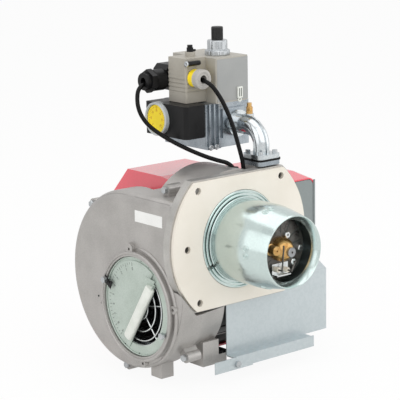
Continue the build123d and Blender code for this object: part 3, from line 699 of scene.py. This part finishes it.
# fittings on the terminal case: rounded gland mouth, clip rod, ribs and a plug socket
glandMouth = {"centre": (8, 90.4, 222), "wide": 11.2, "thin": 3.3, "normal": (0, 1, 0),
              "steps": 60, "around": 14}
clipRod = {"centre": (-7, 107.2, 244), "along": (1, 0, 0), "steps": 28,
           "profile": [(0.3, 0), (3.3, 0), (3.6, 0.5), (3.6, 23.5), (3.2, 24), (0.3, 24)]}
clipHead = {"centre": (-9.2, 107.2, 244), "along": (1, 0, 0), "steps": 28,
            "profile": [(0.9, 0), (4.1, 0), (4.3, 0.5), (4.3, 2.2), (0.9, 2.2)]}
clipCrease = 50
caseRibs = {"count": 6, "lowest": 204.1, "apart": 6, "side": ((-6.0, 133), (0.35, 18.5, 1.5)),
            "front": ((2.5, 111), (5.5, 0.35, 1.5))}
plugSocket = {"block": ((76.6, 86.6, 196), (4.6, 1.8, 8.2)),
              "eye": {"centre": (76.6, 86.8, 185), "wide": 2.6, "thin": 1.2,
                      "normal": (0, 1, 0), "steps": 20, "around": 8}}
# dark strokes on the plug socket: painted shade for its two slots
socketSlotShades = {"first": (74.9, 84.75, 196), "apart": 3.4, "half": (0.7, 0.12, 6.2)}


def addCaseFittings():
    mouth = newPiece("glandMouth", *ring(**glandMouth), "greyPolyamide", "burner")
    rod = newPiece("clipRod", *turned(**clipRod), "mouldedBlack", "burner", crease=clipCrease)
    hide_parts("cover_screw")
    head = newPiece("clipHead", *turned(**clipHead), "platedFastener", "burner")
    rows = []
    for i in range(caseRibs["count"]):
        z = caseRibs["lowest"] + caseRibs["apart"] * i
        rows += [square((*place, z), half) for place, half in (caseRibs["side"], caseRibs["front"])]
    ribs = newPiece("caseRibs", *boxes(rows), "beigeAbs", "burner", False)
    body = newPiece("plugSocket", *joined([boxes([square(*plugSocket["block"])]),
                                           ring(**plugSocket["eye"])]),
                    "mouldedNylon", "burner", False)
    # the socket's slots drawn as strokes of painted shade
    x, y, z = socketSlotShades["first"]
    slotShades = [square((x + socketSlotShades["apart"] * i, y, z), socketSlotShades["half"]) for i in range(2)]
    dark = newPiece("socketSlotShades", *boxes(slotShades), "blackInk", "burner", False)


addCaseFittings()
print("fittings of the gas train made")


# Mixing head in the tube's mouth: slotted disc, brass nozzle with a steel tip, pilot sleeve beside
# it, bracket with two insulators and rods, and three nuts. All of it slides with the head. Turned
# pieces are profiles of radius and place along Y; face is the front of the disc.
mixingHead = {
    "face": -83, "crease": 34,
    "disc": {"centre": (0, 0, 0), "steps": 96,
             "profile": [(9, -83), (44, -83), (45, -82.2), (45, -75), (43.6, -75),
                         (43.6, -81.4), (9, -81.4)]},
    "cap": {"centre": (0, 0, 0), "steps": 72,
            "profile": [(1.6, -101), (8, -101), (11, -99.4), (16.6, -92), (17.4, -89),
                        (17.4, -57), (14.2, -57), (14.2, -88), (1.6, -96)]},
    "tip": {"centre": (3, 0, -2), "steps": 48,
            "profile": [(1.6, -105), (6.4, -105), (7, -104.4), (7, -99), (1.6, -99)]},
    "pilot": {"centre": (-21, -100, 3), "steps": 48,
              "profile": [(1.2, 0), (6.2, 0), (7, 1), (7, 12), (8.4, 13), (8.4, 17.5),
                          (1.2, 17.5)]},
}
# dark radial strokes on the disc's face: painted shade for its slots
discSlotShades = {"count": 14, "turn": 0.4, "radius": 32, "half": (9.5, 0.08, 0.9), "proud": 0.02}
headBracket = [((-3, -84.6, -28), (15, 1.2, 8.5)), ((-3, -89, -35.6), (13, 5.4, 0.9))]
sparkSleeves = {"centres": ((-12, -93, -27), (6, -93, -30)), "steps": 24, "crease": 40,
                "profile": [(1.4, 0), (3.4, 0), (3.9, 0.6), (3.9, 36), (1.4, 36)]}
# each rod by where it starts, its direction and its length
sparkRods = {"bore": 0.3, "radius": 1.2, "steps": 16, "crease": 40,
             "rods": (((-12, -101, -27), (0, 1, 0), 26), ((6, -101, -30), (0, 1, 0), 26),
                      ((-12, -100, -27), (0.1, 0, 1), 36), ((6, -100, -30), (0.5, 0, 0.9), 16))}
discNuts = {"centres": ((11, -87.6, 19), (36, -87.6, -4), (22, -87.6, -22)), "steps": 24,
            "flats": 6, "depth": 0.5, "beyond": 4, "crease": 30,
            "profile": [(1.5, 0), (4.2, 0), (4.8, 0.6), (4.8, 4.6), (1.5, 4.6)]}


def addMixingHead():
    m = mixingHead
    along = (0, 1, 0)

    def turnedPiece(name, part, finish, node=None):
        piece = newPiece(name, *turned(**m[part], along=along), finish, "mixing_head",
                         crease=m["crease"])
        if node:
            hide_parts(node)

    turnedPiece("slottedDisc", "disc", "heatedSteel", "baffle_plate")
    turnedPiece("nozzleCap", "cap", "turnedBrass", "gas_nozzle")
    turnedPiece("nozzleTip", "tip", "turnedSteel")
    turnedPiece("pilotSleeve", "pilot", "turnedBrass")

    # the disc's slots drawn as dark strokes of painted shade
    d = discSlotShades
    rows = []
    for i in range(d["count"]):
        t = 2 * math.pi * (i + d["turn"]) / d["count"]
        out = np.array([math.cos(t), 0, math.sin(t)])
        side = np.array([-math.sin(t), 0, math.cos(t)])
        rows.append((out * d["radius"] + np.array([0, m["face"] - d["proud"], 0]), d["half"],
                     (out, np.array([0, 1.0, 0]), side)))
    slotShades = newPiece("discSlotShades", *boxes(rows), "blackInk", "mixing_head", False)

    bracket = newPiece("headBracket", *boxes([square(*part) for part in headBracket]),
                       "chromedWire", "mixing_head", False)
    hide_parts("electrode_clamp")

    s = sparkSleeves
    sleeves = joined([turned(s["profile"], c, along, s["steps"]) for c in s["centres"]])
    insulators = newPiece("sparkSleeves", *sleeves, "glazedSteatite", "mixing_head",
                          crease=s["crease"])
    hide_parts("electrode_insulators")

    r = sparkRods
    rods = [turned([(r["bore"], 0), (r["radius"], 0), (r["radius"], length), (r["bore"], length)],
                   start, direction, r["steps"]) for start, direction, length in r["rods"]]
    leads = newPiece("sparkRods", *joined(rods), "heatedSteel", "mixing_head",
                     crease=r["crease"])
    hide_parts("electrode_rods")

    n = discNuts
    nuts = joined([turned(n["profile"], c, along, n["steps"], n["flats"], n["depth"],
                          n["beyond"]) for c in n["centres"]])
    screws = newPiece("discNuts", *nuts, "chromedWire", "mixing_head", crease=n["crease"])
    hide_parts("head_nuts")


addMixingHead()


# black wedge that points from the upper clamp screw to the damper's scale: painted shade for the
# dark gap there.
# Its width is drawn in by taper times the way along it
wedge = {"angle": 67, "radius": 66.5, "side": -1.5, "x": -123.4, "half": (0.8, 7.5, 6.0),
         "taper": 0.6}


def addWedge():
    w = wedge
    out, side = spoke(math.radians(w["angle"]))
    spot = fanAxis + out * w["radius"] + side * w["side"] + np.array([w["x"], 0, 0])
    turn = np.stack([np.array([1.0, 0, 0]), out, side])
    points, faces = boxes([(spot, w["half"], turn)])
    halfLength = w["half"][1]
    way = np.clip(((points - spot) @ out + halfLength) / (2 * halfLength), 0, 1)
    points = points - np.outer((points - spot) @ side * way * w["taper"], side)
    piece = newPiece("gapShadeWedge", points, faces, "mouldedBlack", "burner", False)


addWedge()


# socket screws at the foot of the valve casting, each an outer and an inner ring given by
# radius, thickness and steps
castingScrews = {"centres": ((20, 87.4, 119), (31, 87.4, 119)), "around": 8,
                 "rings": ((3.2, 1.1, 24), (1.44, 0.9, 16))}


def addSmallScrews():
    s = castingScrews
    parts = [ring(centre, wide, thin, (0, -1, 0), steps, s["around"])
             for centre in s["centres"] for wide, thin, steps in s["rings"]]
    piece = newPiece("castingScrews", *joined(parts), "platedFastener", "burner")


addSmallScrews()
# the pointer in this message is the black wedge of painted shade
print("mixing head, pointer and screws made")


# floor's half width and its drop below the object in metres, how much of its own white the
# floor shows, and the strength of the sky and of the background that gloss shows
studio = {"floorHalf": 9, "floorDrop": 0.0005, "floorWhite": 0.93, "floorColour": "#F4F4F2",
          "sky": 0.62, "gloss": 0.55, "white": (1, 1, 1, 1)}
# lamps by place and side length in metres and power in watts, all turned to one target
lamps = {"keyLamp": {"place": (-0.7, -2.2, 2.0), "power": 32, "size": 3.5},
         "fillLamp": {"place": (1.7, -1.6, 0.7), "power": 15, "size": 2.5},
         "leftLamp": {"place": (-2.2, 0.2, 0.9), "power": 10, "size": 2.1},
         "topLamp": {"place": (0.2, 0.4, 1.9), "power": 12, "size": 2.1}}
lampTarget = (0.03, 0.06, 0.02)


def addFloor():
    s = studio
    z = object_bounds()[0][2] - s["floorDrop"]
    half = s["floorHalf"]
    mesh = bpy.data.meshes.new("floor")
    mesh.from_pydata([(-half, -half, z), (half, -half, z), (half, half, z), (-half, half, z)],
                     [], [(0, 1, 2, 3)])
    floor = bpy.data.objects.new("floor", mesh)
    bpy.context.scene.collection.objects.link(floor)
    paint = bpy.data.materials.new("paleFloor")
    paint.use_nodes = True
    paint.node_tree.nodes.clear()
    path = addNode(paint, "ShaderNodeLightPath").outputs
    gloss = addNode(paint, "ShaderNodeMath", {"operation": "MULTIPLY"},
                    {0: path["Is Glossy Ray"], 1: s["gloss"]})
    seen = addNode(paint, "ShaderNodeMath", {"operation": "MAXIMUM"},
                   {0: path["Is Camera Ray"], 1: gloss.outputs[0]})
    amount = addNode(paint, "ShaderNodeMath", {"operation": "MULTIPLY"},
                     {0: seen.outputs[0], 1: s["floorWhite"]})
    matt = addNode(paint, "ShaderNodeBsdfDiffuse", None, {"Color": linear(s["floorColour"])})
    glow = addNode(paint, "ShaderNodeEmission", None, {"Color": s["white"], "Strength": 1.0})
    both = addNode(paint, "ShaderNodeMixShader", None,
                   {0: amount.outputs[0], 1: matt.outputs[0], 2: glow.outputs[0]})
    addNode(paint, "ShaderNodeOutputMaterial", None, {"Surface": both.outputs[0]})
    mesh.materials.append(paint)


def addWorld():
    s = studio
    world = bpy.data.worlds.new("studio")
    bpy.context.scene.world = world
    world.use_nodes = True
    world.node_tree.nodes.clear()
    path = addNode(world, "ShaderNodeLightPath").outputs
    seen = addNode(world, "ShaderNodeMath", {"operation": "MAXIMUM"},
                   {0: path["Is Camera Ray"], 1: path["Is Transmission Ray"]})
    gloss = addNode(world, "ShaderNodeMath", {"operation": "MULTIPLY"},
                    {0: path["Is Glossy Ray"], 1: s["gloss"]})
    amount = addNode(world, "ShaderNodeMath", {"operation": "MAXIMUM"},
                     {0: seen.outputs[0], 1: gloss.outputs[0]})
    dim = addNode(world, "ShaderNodeBackground", None, {"Color": s["white"], "Strength": s["sky"]})
    bright = addNode(world, "ShaderNodeBackground", None, {"Color": s["white"], "Strength": 1.0})
    both = addNode(world, "ShaderNodeMixShader", None,
                   {0: amount.outputs[0], 1: dim.outputs[0], 2: bright.outputs[0]})
    addNode(world, "ShaderNodeOutputWorld", None, {"Surface": both.outputs[0]})


def addLamps():
    for name, l in lamps.items():
        data = bpy.data.lights.new(name, "AREA")
        data.energy, data.size = l["power"], l["size"]
        thing = bpy.data.objects.new(name, data)
        bpy.context.scene.collection.objects.link(thing)
        thing.location = l["place"]
        aim = Vector(lampTarget) - thing.location
        thing.rotation_euler = aim.to_track_quat("-Z", "Y").to_euler()


addFloor()
addWorld()
addLamps()
bpy.context.scene.view_settings.view_transform = "Standard"
print("stage and lamps set")
